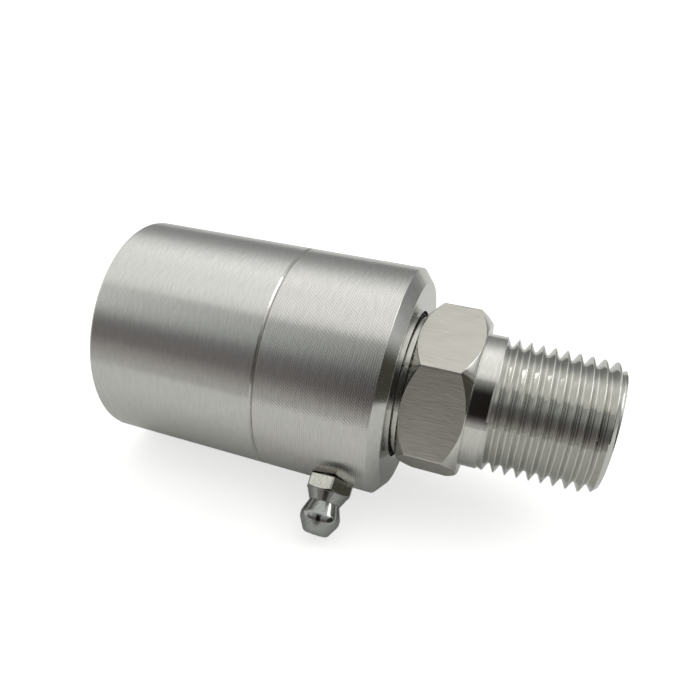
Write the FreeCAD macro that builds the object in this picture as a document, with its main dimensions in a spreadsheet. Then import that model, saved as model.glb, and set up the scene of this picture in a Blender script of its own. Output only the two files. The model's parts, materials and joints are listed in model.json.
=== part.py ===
import FreeCAD, Part
import Sketcher
import math
import os

# Hose reel swivel joint, half inch, in stainless steel. Millimetres.
# +X runs along the swivel axis towards the male thread, and +Z is up as the joint lies on a table.
# The grease nipple leans down towards -Y, with its head just clear of that table.
# The origin is on the axis where the rear port's thread starts, one countersink inside the rear face.

os.makedirs("parts", exist_ok=True)
doc = FreeCAD.newDocument("hose_reel_swivel")
FULL_TURN = 360
HALF_TURN = 180
SAME_PLACE = 0.0001

# Driving dimensions: name, value, meaning
DIMENSIONS = [
    ("housing_diameter", 38, "outside of the two housing halves"),
    ("housing_length", 49.6, "rear face to the front face"),
    ("spigot_length", 7.2, "screwed joint, from the seam between the halves to the rear bearing"),
    ("rear_edge_break", 0.3, "chamfer round the rear face"),
    ("front_bevel_length", 1.65, "front chamfer along the axis"),
    ("front_bevel_depth", 2, "front chamfer across the axis"),
    ("port_tap_diameter", 18.631, "minor diameter of the parallel half inch pipe thread"),
    ("port_countersink", 1.2, "45 degree lead-in at the rear face"),
    ("port_relief_length", 1.8, "thread run-out groove"),
    ("port_relief_depth", 1.2, "thread run-out groove, below the tapped wall"),
    ("ledge_thickness", 2, "wall between the port and the seal bore"),
    ("flow_bore_diameter", 11, "water way through ledge and spindle"),
    ("journal_diameter", 18, "spindle where the bearings and seals sit"),
    ("running_clearance", 0.05, "radial gap of the spindle in the seal bore"),
    ("seat_clearance", 0.02, "radial gap of rings on and in their seats"),
    ("tail_gap", 0.5, "end gap between the ledge and the spindle"),
    ("tail_edge_break", 0.6, "chamfer on the spindle's rear end"),
    ("spigot_diameter", 30, "screwed joint between the halves, thread left plain"),
    ("thread_allowance", 0.05, "radial gap in the screwed joint"),
    ("spigot_undercut_length", 1, "thread relief at the root of the spigot"),
    ("spigot_undercut_depth", 0.8, "thread relief at the root of the spigot"),
    ("bearing_outer_diameter", 28, "outside of the outer races"),
    ("bearing_width", 4, "width of each race"),
    ("race_land_gap", 1.6, "radial gap between the lands of the two races"),
    ("race_edge_break", 0.3, "chamfer on the seating corners of the races"),
    ("spacer_width", 2, "distance between the two bearings"),
    ("spacer_hole_diameter", 1.2, "grease hole through the outer spacer"),
    ("spacer_hole_count", 4, "grease holes round the outer spacer"),
    ("ball_diameter", 2.5, "bearing ball"),
    ("ball_count", 14, "balls in each bearing"),
    ("race_clearance", 0.02, "gap between ball and groove"),
    ("cage_thickness", 0.7, "radial thickness of the cage"),
    ("cage_margin", 0.35, "cage is this much inside each race face"),
    ("pocket_clearance", 0.08, "gap round a ball in its cage pocket"),
    ("race_stop_thickness", 1, "inner shoulder that holds the front bearing"),
    ("wiper_groove_width", 1.3, "groove for the dust wiper"),
    ("wiper_groove_depth", 1.4, "groove for the dust wiper, below the face bore"),
    ("front_wall", 0.6, "lip in front of the dust wiper"),
    ("neck_diameter", 23, "spindle between bearing and hexagon"),
    ("face_bore_diameter", 24.6, "hole in the front face round the neck"),
    ("wiper_lip_thickness", 0.55, "rubber lip on the neck"),
    ("wiper_clearance", 0.05, "gap between wiper and neck, and in its groove"),
    ("wiper_recess", 0.25, "lip ends this far inside the front face"),
    ("circlip_thickness", 1.2, "shaft circlip"),
    ("circlip_groove_depth", 0.5, "circlip groove, below the journal"),
    ("circlip_band", 1.5, "radial width of the circlip"),
    ("circlip_mouth", 3.2, "gap between the circlip's ends"),
    ("circlip_eye_diameter", 1.3, "plier hole"),
    ("circlip_eye_spread", 6.6, "distance between the two plier holes"),
    ("circlip_eye_rise", 1, "plier hole above the inside of the circlip"),
    ("circlip_ear_diameter", 2.7, "rounded end round each plier hole"),
    ("circlip_room_depth", 0.6, "room behind the circlip in the spigot"),
    ("circlip_room_diameter", 24.2, "room round the circlip in the spigot"),
    ("guide_land", 1, "spindle end to the guide ring groove"),
    ("guide_width", 2, "guide ring"),
    ("guide_depth", 1, "guide ring groove, below the journal"),
    ("seal_land", 1.1, "land between the seal grooves"),
    ("front_land", 4, "second seal groove to the circlip groove"),
    ("seal_groove_diameter", 14.4, "bottom of both seal grooves"),
    ("o_ring_room", 2.3, "axial room for one sealing ring"),
    ("backup_width", 1.2, "back-up ring"),
    ("ring_side_clearance", 0.05, "end gap of rings in their grooves"),
    ("face_gap", 1, "housing face to the hexagon"),
    ("hex_length", 9.8, "hexagon"),
    ("hex_across_flats", 25, "hexagon"),
    ("hex_bevel_diameter", 24.8, "circle where the hexagon's bevels start"),
    ("hex_bevel_reach", 1, "bevelling cut runs this far past the corners"),
    ("hex_roll", 11.5, "angle of one hexagon edge from +Y at rest, degrees"),
    ("collar_length", 2.6, "plain part in front of the hexagon"),
    ("male_thread_length", 17.8, "half inch taper pipe thread, crests left plain"),
    ("male_gauge_diameter", 20.955, "over the crests at the gauge plane"),
    ("male_gauge_length", 8.2, "thread end to the gauge plane"),
    ("male_thread_taper", 0.0625, "change of diameter per length, 1 in 16"),
    ("male_end_bevel", 1, "chamfer at the thread's end"),
    ("bore_edge_break", 0.5, "chamfer of the water way at both spindle ends"),
    ("spot_face_diameter", 8.8, "flat for the nipple's hexagon"),
    ("spot_face_depth", 0.1, "flat for the nipple, below the housing's outside"),
    ("nipple_shank_diameter", 6, "nipple thread, left plain"),
    ("nipple_hole_floor", 1.2, "wall between the tapped hole and the bearing bore"),
    ("nipple_hole_spare", 0.3, "tapped hole is deeper than the shank"),
    ("nipple_lean", 53.8, "nipple from straight down towards -Y, degrees"),
    ("grease_drilling_diameter", 1.6, "from the tapped hole to the bearings"),
    ("grease_drilling_entry", 0.9, "how far the drilling enters the bearing bore"),
    ("nipple_flats", 7, "nipple hexagon"),
    ("nipple_roll", 13.6, "angle of one nipple hexagon edge from +X, degrees"),
    ("nipple_hex_height", 2.3, "nipple hexagon"),
    ("nipple_neck_diameter", 5, "thin part under the head"),
    ("nipple_waist_height", 1.6, "cone from the hexagon down to the neck"),
    ("nipple_collar_diameter", 5.75, "small end of the cone"),
    ("nipple_head_diameter", 6.6, "head that the grease gun grips, before rounding"),
    ("nipple_head_rise", 2.6, "neck to the head's largest diameter"),
    ("nipple_head_drop", 2.7, "largest diameter to the tip"),
    ("nipple_tip_diameter", 5.2, "flat end of the head, before rounding"),
    ("nipple_head_round", 1.2, "rounding of the head's largest diameter"),
    ("nipple_tip_round", 1, "rounding of the tip"),
    ("nipple_bore_diameter", 2.5, "grease passage and spring room"),
    ("nipple_mouth_diameter", 1.4, "hole in the tip, closed by the ball"),
    ("nipple_mouth_length", 0.6, "hole in the tip before its cone seat"),
    ("nipple_crimp_diameter", 1.3, "rolled-in end that holds the spring"),
    ("nipple_crimp_length", 0.5, "rolled-in end that holds the spring"),
    ("valve_ball_diameter", 2, "ball that closes the nipple"),
    ("valve_gap", 0.02, "gap between valve ball, seat and spring"),
    ("spring_wire_diameter", 0.3, "nipple spring"),
    ("spring_coil_diameter", 1.5, "nipple spring, to the middle of the wire"),
    ("spring_turns", 5, "nipple spring"),
]

sheet = doc.addObject("Spreadsheet::Sheet", "dim")
for row, (alias, value, meaning) in enumerate(DIMENSIONS, start=1):
    sheet.set(f"A{row}", alias)
    sheet.set(f"B{row}", str(value))
    sheet.set(f"C{row}", meaning)
    sheet.setAlias(f"B{row}", alias)
doc.recompute()

# Stations along the axis, as expressions on the sheet's cells, from the front face backwards. What
# the bearings and the seals leave of the housing's length is the rear port's thread.
REAR_FACE = "(0 - dim.port_countersink)"
FRONT_FACE = f"({REAR_FACE} + dim.housing_length)"
WIPER_FRONT = f"({FRONT_FACE} - dim.front_wall)"
WIPER_BACK = f"({WIPER_FRONT} - dim.wiper_groove_width)"
RACE_STOP = f"({WIPER_BACK} - dim.race_stop_thickness)"
FRONT_BEARING = f"({RACE_STOP} - dim.bearing_width)"
SPACER_START = f"({FRONT_BEARING} - dim.spacer_width)"
REAR_BEARING = f"({SPACER_START} - dim.bearing_width)"
NIPPLE_STATION = f"({SPACER_START} + dim.spacer_width / 2)"
SEAM = f"({REAR_BEARING} - dim.spigot_length)"
CIRCLIP_START = f"({REAR_BEARING} - dim.circlip_thickness)"
SECOND_SEAL_END = f"({CIRCLIP_START} - dim.front_land)"
SECOND_SEAL_START = f"({SECOND_SEAL_END} - dim.o_ring_room)"
MAIN_SEAL_END = f"({SECOND_SEAL_START} - dim.seal_land)"
MAIN_SEAL_START = f"({MAIN_SEAL_END} - dim.o_ring_room - dim.backup_width)"
GUIDE_END = f"({MAIN_SEAL_START} - dim.seal_land)"
GUIDE_START = f"({GUIDE_END} - dim.guide_width)"
TAIL_START = f"({GUIDE_START} - dim.guide_land)"
LEDGE_END = f"({TAIL_START} - dim.tail_gap)"
LEDGE_START = f"({LEDGE_END} - dim.ledge_thickness)"
PORT_END = f"({LEDGE_START} - dim.port_relief_length)"

# Radii and the stations in front of the housing
HOUSING_RADIUS = "(dim.housing_diameter / 2)"
PORT_RADIUS = "(dim.port_tap_diameter / 2)"
FLOW_RADIUS = "(dim.flow_bore_diameter / 2)"
JOURNAL_RADIUS = "(dim.journal_diameter / 2)"
SEAL_BORE_RADIUS = f"({JOURNAL_RADIUS} + dim.running_clearance)"
BEARING_RADIUS = "(dim.bearing_outer_diameter / 2)"
RACE_SEAT_RADIUS = f"({BEARING_RADIUS} + dim.seat_clearance)"
PITCH_RADIUS = f"(({JOURNAL_RADIUS} + {BEARING_RADIUS}) / 2)"
INNER_LAND_RADIUS = f"({PITCH_RADIUS} - dim.race_land_gap / 2)"
OUTER_LAND_RADIUS = f"({PITCH_RADIUS} + dim.race_land_gap / 2)"
SPIGOT_RADIUS = "(dim.spigot_diameter / 2 - dim.thread_allowance)"
FACE_BORE_RADIUS = "(dim.face_bore_diameter / 2)"
WIPER_SEAT_RADIUS = f"({FACE_BORE_RADIUS} + dim.wiper_groove_depth)"
NECK_RADIUS = "(dim.neck_diameter / 2)"
CIRCLIP_GROOVE_RADIUS = f"({JOURNAL_RADIUS} - dim.circlip_groove_depth)"
GUIDE_GROOVE_RADIUS = f"({JOURNAL_RADIUS} - dim.guide_depth)"
SEAL_GROOVE_RADIUS = "(dim.seal_groove_diameter / 2)"
HEX_START = f"({FRONT_FACE} + dim.face_gap)"
HEX_END = f"({HEX_START} + dim.hex_length)"
COLLAR_END = f"({HEX_END} + dim.collar_length)"
MALE_END = f"({COLLAR_END} + dim.male_thread_length)"
MALE_END_RADIUS = "((dim.male_gauge_diameter - dim.male_gauge_length * dim.male_thread_taper) / 2)"
COLLAR_RADIUS = f"({MALE_END_RADIUS} + dim.male_thread_length * dim.male_thread_taper / 2)"

# Heights along the grease nipple, from the swivel axis outwards
NIPPLE_SEAT = f"({HOUSING_RADIUS} - dim.spot_face_depth)"
TAPPED_END = f"({BEARING_RADIUS} + dim.nipple_hole_floor)"
SHANK_END = f"({TAPPED_END} + dim.nipple_hole_spare)"
NIPPLE_HEX_END = f"({NIPPLE_SEAT} + dim.nipple_hex_height)"
NIPPLE_NECK = f"({NIPPLE_HEX_END} + dim.nipple_waist_height)"
NIPPLE_EQUATOR = f"({NIPPLE_NECK} + dim.nipple_head_rise)"
NIPPLE_TIP = f"({NIPPLE_EQUATOR} + dim.nipple_head_drop)"
VALVE_RADIUS = "(dim.valve_ball_diameter / 2)"
SEAT_CONE_START = f"({NIPPLE_TIP} - dim.nipple_mouth_length)"
SEAT_CONE_END = f"({SEAT_CONE_START} - (dim.nipple_bore_diameter - dim.nipple_mouth_diameter) / 2)"
SEAT_TOUCH = f"({VALVE_RADIUS} / sqrt(2))"
VALVE_CENTRE = (
    f"({SEAT_CONE_START} - ({SEAT_TOUCH} - dim.nipple_mouth_diameter / 2)"
    f" - {SEAT_TOUCH} - dim.valve_gap * sqrt(2))"
)


def size(expression):
    """The present value of an expression on the sheet."""
    return float(sheet.evalExpression(expression))


def body_named(label):
    """A new body whose label is the name of its piece."""
    body = doc.addObject("PartDesign::Body", label)
    body.Label = label
    return body


def origin_item(body, role):
    """One of the body's own origin planes or axes."""
    for item in body.Origin.OriginFeatures:
        if item.Role == role:
            return item
    raise ValueError(role)


def sketch_on(body, name, role, height=None):
    """A sketch on an origin plane of the body, lifted by an expression."""
    sketch = body.newObject("Sketcher::SketchObject", name)
    sketch.AttachmentSupport = [(origin_item(body, role), "")]
    sketch.MapMode = "FlatFace"
    if height is not None:
        sketch.setExpression("AttachmentOffset.Base.z", height)
    return sketch


def bind(sketch, constraint, expression):
    """Tie one sketch constraint to an expression."""
    sketch.setExpression(f"Constraints[{constraint}]", expression)


def outline(sketch, corners):
    """A closed straight-sided outline through corners given as (across, up) expressions."""
    points = [FreeCAD.Vector(size(across), size(up), 0) for across, up in corners]
    count = len(points)
    edges = []
    for index in range(count):
        line = Part.LineSegment(points[index], points[(index + 1) % count])
        edges.append(sketch.addGeometry(line, False))
    for index in range(count):
        following = edges[(index + 1) % count]
        sketch.addConstraint(Sketcher.Constraint("Coincident", edges[index], 2, following, 1))
    for index, (across, up) in enumerate(corners):
        place = points[index]
        sideways = Sketcher.Constraint("DistanceX", -1, 1, edges[index], 1, place.x)
        bind(sketch, sketch.addConstraint(sideways), across)
        upward = Sketcher.Constraint("DistanceY", -1, 1, edges[index], 1, place.y)
        bind(sketch, sketch.addConstraint(upward), up)


def circle(sketch, across, up, radius):
    """A circle with its centre and radius given as expressions."""
    centre = FreeCAD.Vector(size(across), size(up), 0)
    ring = sketch.addGeometry(Part.Circle(centre, FreeCAD.Vector(0, 0, 1), size(radius)), False)
    bind(sketch, sketch.addConstraint(Sketcher.Constraint("Radius", ring, size(radius))), radius)
    sideways = Sketcher.Constraint("DistanceX", -1, 1, ring, 3, centre.x)
    bind(sketch, sketch.addConstraint(sideways), across)
    upward = Sketcher.Constraint("DistanceY", -1, 1, ring, 3, centre.y)
    bind(sketch, sketch.addConstraint(upward), up)


def hexagon(sketch, across_flats, roll):
    """A regular hexagon round the sketch's origin, one corner at the roll angle."""
    reach = size(across_flats) / math.sqrt(3)
    corners = []
    for index in range(6):
        angle = math.radians(size(roll) + 60 * index)
        corners.append(FreeCAD.Vector(reach * math.cos(angle), reach * math.sin(angle), 0))
    edges = []
    for index in range(6):
        line = Part.LineSegment(corners[index], corners[(index + 1) % 6])
        edges.append(sketch.addGeometry(line, False))
    for index in range(6):
        following = edges[(index + 1) % 6]
        sketch.addConstraint(Sketcher.Constraint("Coincident", edges[index], 2, following, 1))
    for index in range(5):
        sketch.addConstraint(Sketcher.Constraint("Equal", edges[index], edges[index + 1]))
    centre = FreeCAD.Vector(0, 0, 0)
    guide = sketch.addGeometry(Part.Circle(centre, FreeCAD.Vector(0, 0, 1), reach), True)
    sketch.addConstraint(Sketcher.Constraint("Coincident", guide, 3, -1, 1))
    for edge in edges:
        sketch.addConstraint(Sketcher.Constraint("PointOnObject", edge, 1, guide))
    spoke = sketch.addGeometry(Part.LineSegment(centre, corners[0]), True)
    sketch.addConstraint(Sketcher.Constraint("Coincident", spoke, 1, -1, 1))
    sketch.addConstraint(Sketcher.Constraint("Coincident", spoke, 2, edges[0], 1))
    width = Sketcher.Constraint("Radius", guide, reach)
    bind(sketch, sketch.addConstraint(width), f"{across_flats} / sqrt(3)")
    turn = Sketcher.Constraint("Angle", -1, 1, spoke, 1, math.radians(size(roll)))
    bind(sketch, sketch.addConstraint(turn), f"{roll} * 1 deg")


def add_feature(body, kind, name, sketch):
    """A feature of the body made from a sketch."""
    feature = body.newObject(kind, name)
    feature.Profile = sketch
    sketch.Visibility = False
    return feature


def turned(body, name, corners, axis="X_Axis", plane="XZ_Plane"):
    """Material turned round an axis of the body from a straight-sided outline."""
    sketch = sketch_on(body, name + "_outline", plane)
    outline(sketch, corners)
    feature = add_feature(body, "PartDesign::Revolution", name, sketch)
    feature.ReferenceAxis = (origin_item(body, axis), [""])
    feature.Angle = FULL_TURN
    doc.recompute()
    return feature


def must_cut(body, feature, before):
    """Stop if a cutting feature took nothing away."""
    doc.recompute()
    if not body.Shape.Volume < before:
        raise RuntimeError(f"{feature.Name} cuts nothing from {body.Label}")
    return feature


def grooved(body, name, draw, axis="X_Axis", plane="XZ_Plane"):
    """A groove turned round an axis of the body, its section drawn by a function."""
    before = body.Shape.Volume
    sketch = sketch_on(body, name + "_outline", plane)
    draw(sketch)
    feature = add_feature(body, "PartDesign::Groove", name, sketch)
    feature.ReferenceAxis = (origin_item(body, axis), [""])
    feature.Angle = FULL_TURN
    return must_cut(body, feature, before)


def pocketed(body, name, sketch, depth=None, reverse=False):
    """A pocket from a sketch, through everything on one side where no depth is given."""
    before = body.Shape.Volume
    feature = add_feature(body, "PartDesign::Pocket", name, sketch)
    feature.Reversed = reverse
    if depth is None:
        feature.Type = "ThroughAll"
    else:
        feature.Type = "Length"
        feature.setExpression("Length", depth)
    return must_cut(body, feature, before)


def repeated(body, name, feature, copies, axis="X_Axis"):
    """Copies of a feature, evenly spaced round an axis of the body."""
    pattern = body.newObject("PartDesign::PolarPattern", name)
    pattern.Originals = [feature]
    pattern.Axis = (origin_item(body, axis), [""])
    pattern.Angle = FULL_TURN
    pattern.setExpression("Occurrences", copies)
    body.Tip = pattern
    doc.recompute()
    return pattern


def ring(label, start, end, inner, outer):
    """A plain ring of rectangular section round the swivel axis."""
    body = body_named(label)
    turned(body, label + "_section", [(start, inner), (end, inner), (end, outer), (start, outer)])
    return body


def o_ring(label, middle, inner, outer):
    """A rubber ring of round section, squeezed between two radii."""
    seal = doc.addObject("Part::Torus", label)
    seal.Label = label
    seal.Placement = FreeCAD.Placement(
        FreeCAD.Vector(0, 0, 0), FreeCAD.Rotation(FreeCAD.Vector(0, 1, 0), 90)
    )
    seal.setExpression("Placement.Base.x", middle)
    seal.setExpression("Radius1", f"({inner} + {outer}) / 2")
    seal.setExpression("Radius2", f"({outer} - {inner}) / 2 - dim.running_clearance / 2")
    return seal


def rear_body():
    """Rear half: female pipe port, ledge, seal bore and the screwed spigot for the front half."""
    body = body_named("rear_body")
    room_start = f"({CIRCLIP_START} - dim.circlip_room_depth)"
    room_radius = "(dim.circlip_room_diameter / 2)"
    undercut_end = f"({SEAM} + dim.spigot_undercut_length)"
    undercut_radius = f"({SPIGOT_RADIUS} - dim.spigot_undercut_depth)"
    relief_radius = f"({PORT_RADIUS} + dim.port_relief_depth)"
    turned(
        body,
        "rear_turning",
        [
            (REAR_FACE, f"{PORT_RADIUS} + dim.port_countersink"),
            ("0", PORT_RADIUS),
            (PORT_END, PORT_RADIUS),
            (PORT_END, relief_radius),
            (LEDGE_START, relief_radius),
            (LEDGE_START, FLOW_RADIUS),
            (LEDGE_END, FLOW_RADIUS),
            (LEDGE_END, SEAL_BORE_RADIUS),
            (room_start, SEAL_BORE_RADIUS),
            (room_start, room_radius),
            (REAR_BEARING, room_radius),
            (REAR_BEARING, SPIGOT_RADIUS),
            (undercut_end, SPIGOT_RADIUS),
            (undercut_end, undercut_radius),
            (SEAM, undercut_radius),
            (SEAM, HOUSING_RADIUS),
            (f"{REAR_FACE} + dim.rear_edge_break", HOUSING_RADIUS),
            (REAR_FACE, f"{HOUSING_RADIUS} - dim.rear_edge_break"),
        ],
    )
    return body


def bearing_housing():
    """Front half: bearing bore, shoulder, dust wiper groove, bevelled nose and the nipple's seat."""
    body = body_named("bearing_housing")
    joint_radius = "(dim.spigot_diameter / 2)"
    turned(
        body,
        "front_turning",
        [
            (SEAM, joint_radius),
            (REAR_BEARING, joint_radius),
            (REAR_BEARING, RACE_SEAT_RADIUS),
            (RACE_STOP, RACE_SEAT_RADIUS),
            (RACE_STOP, FACE_BORE_RADIUS),
            (WIPER_BACK, FACE_BORE_RADIUS),
            (WIPER_BACK, WIPER_SEAT_RADIUS),
            (WIPER_FRONT, WIPER_SEAT_RADIUS),
            (WIPER_FRONT, FACE_BORE_RADIUS),
            (FRONT_FACE, FACE_BORE_RADIUS),
            (FRONT_FACE, f"{HOUSING_RADIUS} - dim.front_bevel_depth"),
            (f"{FRONT_FACE} - dim.front_bevel_length", HOUSING_RADIUS),
            (SEAM, HOUSING_RADIUS),
        ],
    )
    below = f"0 - {NIPPLE_SEAT}"
    spot = sketch_on(body, "spot_face_outline", "XY_Plane", below)
    circle(spot, NIPPLE_STATION, "0", "dim.spot_face_diameter / 2")
    pocketed(body, "spot_face", spot)
    tapping = sketch_on(body, "tapped_hole_outline", "XY_Plane", below)
    circle(tapping, NIPPLE_STATION, "0", "dim.nipple_shank_diameter / 2 + dim.seat_clearance")
    pocketed(body, "tapped_hole", tapping, f"{NIPPLE_SEAT} - {TAPPED_END}", reverse=True)
    drilling = sketch_on(body, "grease_drilling_outline", "XY_Plane", below)
    circle(drilling, NIPPLE_STATION, "0", "dim.grease_drilling_diameter / 2")
    into_bore = f"{NIPPLE_SEAT} - {BEARING_RADIUS} + dim.grease_drilling_entry"
    pocketed(body, "grease_drilling", drilling, into_bore, reverse=True)
    leaned = FreeCAD.Rotation(FreeCAD.Vector(-1, 0, 0), size("dim.nipple_lean"))
    body.Placement = FreeCAD.Placement(FreeCAD.Vector(0, 0, 0), leaned)
    body.setExpression("Placement.Rotation.Angle", "dim.nipple_lean * 1 deg")
    return body


def seal_groove(start, end, bottom):
    """A function that draws a square groove into the spindle's tail."""

    def draw(sketch):
        top = f"({JOURNAL_RADIUS} + dim.running_clearance)"
        outline(sketch, [(start, bottom), (end, bottom), (end, top), (start, top)])

    return draw


def hex_bevel(end, inwards):
    """A function that draws the 45 degree bevel of the hexagon at one end."""

    def draw(sketch):
        low = "(dim.hex_bevel_diameter / 2)"
        high = "(dim.hex_across_flats / sqrt(3) + dim.hex_bevel_reach)"
        outline(sketch, [(end, low), (f"{end} {inwards} ({high} - {low})", high), (end, high)])

    return draw


def spindle():
    """The turning piece: sealed tail, bearing journal, neck, hexagon, collar and taper thread."""
    body = body_named("spindle")
    countersunk = f"({FLOW_RADIUS} + dim.bore_edge_break)"
    turned(
        body,
        "spindle_turning",
        [
            (TAIL_START, countersunk),
            (f"{TAIL_START} + dim.bore_edge_break", FLOW_RADIUS),
            (f"{MALE_END} - dim.bore_edge_break", FLOW_RADIUS),
            (MALE_END, countersunk),
            (MALE_END, f"{MALE_END_RADIUS} - dim.male_end_bevel"),
            (f"{MALE_END} - dim.male_end_bevel", MALE_END_RADIUS),
            (COLLAR_END, COLLAR_RADIUS),
            (HEX_START, COLLAR_RADIUS),
            (HEX_START, NECK_RADIUS),
            (RACE_STOP, NECK_RADIUS),
            (RACE_STOP, JOURNAL_RADIUS),
            (f"{TAIL_START} + dim.tail_edge_break", JOURNAL_RADIUS),
            (TAIL_START, f"{JOURNAL_RADIUS} - dim.tail_edge_break"),
        ],
    )
    flats = sketch_on(body, "hexagon_outline", "YZ_Plane", HEX_START)
    hexagon(flats, "dim.hex_across_flats", "dim.hex_roll")
    # The block is hollow where the turned bar is, so it leaves the water way open
    circle(flats, "0", "0", f"({FLOW_RADIUS} + {COLLAR_RADIUS}) / 2")
    block = add_feature(body, "PartDesign::Pad", "hexagon_block", flats)
    block.setExpression("Length", "dim.hex_length")
    doc.recompute()
    grooved(body, "hexagon_rear_bevel", hex_bevel(HEX_START, "+"))
    grooved(body, "hexagon_front_bevel", hex_bevel(HEX_END, "-"))
    bands = [
        ("guide_groove", GUIDE_START, GUIDE_END, GUIDE_GROOVE_RADIUS),
        ("main_seal_groove", MAIN_SEAL_START, MAIN_SEAL_END, SEAL_GROOVE_RADIUS),
        ("second_seal_groove", SECOND_SEAL_START, SECOND_SEAL_END, SEAL_GROOVE_RADIUS),
        ("circlip_groove", CIRCLIP_START, REAR_BEARING, CIRCLIP_GROOVE_RADIUS),
    ]
    for name, start, end, bottom in bands:
        grooved(body, name, seal_groove(start, end, bottom))
    return body


def race(label, start, inner, outer, broken):
    """One bearing race with its ball groove; the corners on the broken radius are chamfered."""
    body = body_named(label)
    end = f"({start} + dim.bearing_width)"
    cut = "dim.race_edge_break"
    if broken == "outer":
        corners = [
            (start, inner),
            (end, inner),
            (end, f"{outer} - {cut}"),
            (f"{end} - {cut}", outer),
            (f"{start} + {cut}", outer),
            (start, f"{outer} - {cut}"),
        ]
    else:
        corners = [
            (f"{start} + {cut}", inner),
            (f"{end} - {cut}", inner),
            (end, f"{inner} + {cut}"),
            (end, outer),
            (start, outer),
            (start, f"{inner} + {cut}"),
        ]
    turned(body, label + "_section", corners)
    middle = f"({start} + dim.bearing_width / 2)"

    def draw(sketch):
        circle(sketch, middle, PITCH_RADIUS, "dim.ball_diameter / 2 + dim.race_clearance")

    grooved(body, label + "_track", draw)
    return body


def ball_row(label, start):
    """The balls of one bearing, evenly spaced on the pitch circle, as one group of solids."""
    balls = []
    for index in range(int(size("dim.ball_count"))):
        ball = doc.addObject("Part::Sphere", f"{label}_{index + 1}")
        turn = f"({index} * 360 / dim.ball_count * 1 deg)"
        ball.setExpression("Radius", "dim.ball_diameter / 2")
        ball.setExpression("Placement.Base.x", f"{start} + dim.bearing_width / 2")
        ball.setExpression("Placement.Base.y", f"0 - {PITCH_RADIUS} * sin({turn})")
        ball.setExpression("Placement.Base.z", f"{PITCH_RADIUS} * cos({turn})")
        balls.append(ball)
    group = doc.addObject("Part::Compound", label)
    group.Label = label
    group.Links = balls
    return group


def cage(label, start):
    """The ring that keeps the balls apart, with one round pocket for each."""
    middle = f"({PITCH_RADIUS})"
    half = "(dim.cage_thickness / 2)"
    body = ring(
        label,
        f"({start} + dim.cage_margin)",
        f"({start} + dim.bearing_width - dim.cage_margin)",
        f"({middle} - {half})",
        f"({middle} + {half})",
    )
    pocket_outline = sketch_on(body, label + "_pocket_outline", "XY_Plane")
    radius = "dim.ball_diameter / 2 + dim.pocket_clearance"
    circle(pocket_outline, f"{start} + dim.bearing_width / 2", "0", radius)
    pocket = pocketed(body, label + "_pocket", pocket_outline, reverse=True)
    repeated(body, label + "_pockets", pocket, "dim.ball_count")
    return body


def bearing(side, start):
    """The four pieces of one bearing, from its rear face's station."""
    inner_seat = f"({JOURNAL_RADIUS} + dim.seat_clearance)"
    return [
        race(side + "_outer_race", start, OUTER_LAND_RADIUS, BEARING_RADIUS, "outer"),
        race(side + "_inner_race", start, inner_seat, INNER_LAND_RADIUS, "inner"),
        ball_row(side + "_balls", start),
        cage(side + "_cage", start),
    ]


def outer_spacer():
    """Ring between the outer races, with holes that let the grease through."""
    body = ring("outer_spacer", SPACER_START, FRONT_BEARING, OUTER_LAND_RADIUS, BEARING_RADIUS)
    hole_outline = sketch_on(body, "grease_hole_outline", "XY_Plane")
    circle(hole_outline, NIPPLE_STATION, "0", "dim.spacer_hole_diameter / 2")
    hole = pocketed(body, "grease_hole", hole_outline)
    repeated(body, "grease_holes", hole, "dim.spacer_hole_count")
    return body


def inner_spacer():
    """Ring between the inner races, on the spindle."""
    inner_seat = f"({JOURNAL_RADIUS} + dim.seat_clearance)"
    return ring("inner_spacer", SPACER_START, FRONT_BEARING, inner_seat, INNER_LAND_RADIUS)


def dust_wiper():
    """Rubber ring in the housing's front groove, with a lip that fills the gap round the neck."""
    body = body_named("dust_wiper")
    inner = f"({NECK_RADIUS} + dim.wiper_clearance)"
    outer = f"({WIPER_SEAT_RADIUS} - dim.wiper_clearance)"
    lip = f"({inner} + dim.wiper_lip_thickness)"
    front = f"({WIPER_FRONT} - dim.wiper_clearance)"
    tip = f"({FRONT_FACE} - dim.wiper_recess)"
    turned(
        body,
        "wiper_section",
        [(WIPER_BACK, inner), (tip, inner), (tip, lip), (front, lip), (front, outer), (WIPER_BACK, outer)],
    )
    return body


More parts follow.
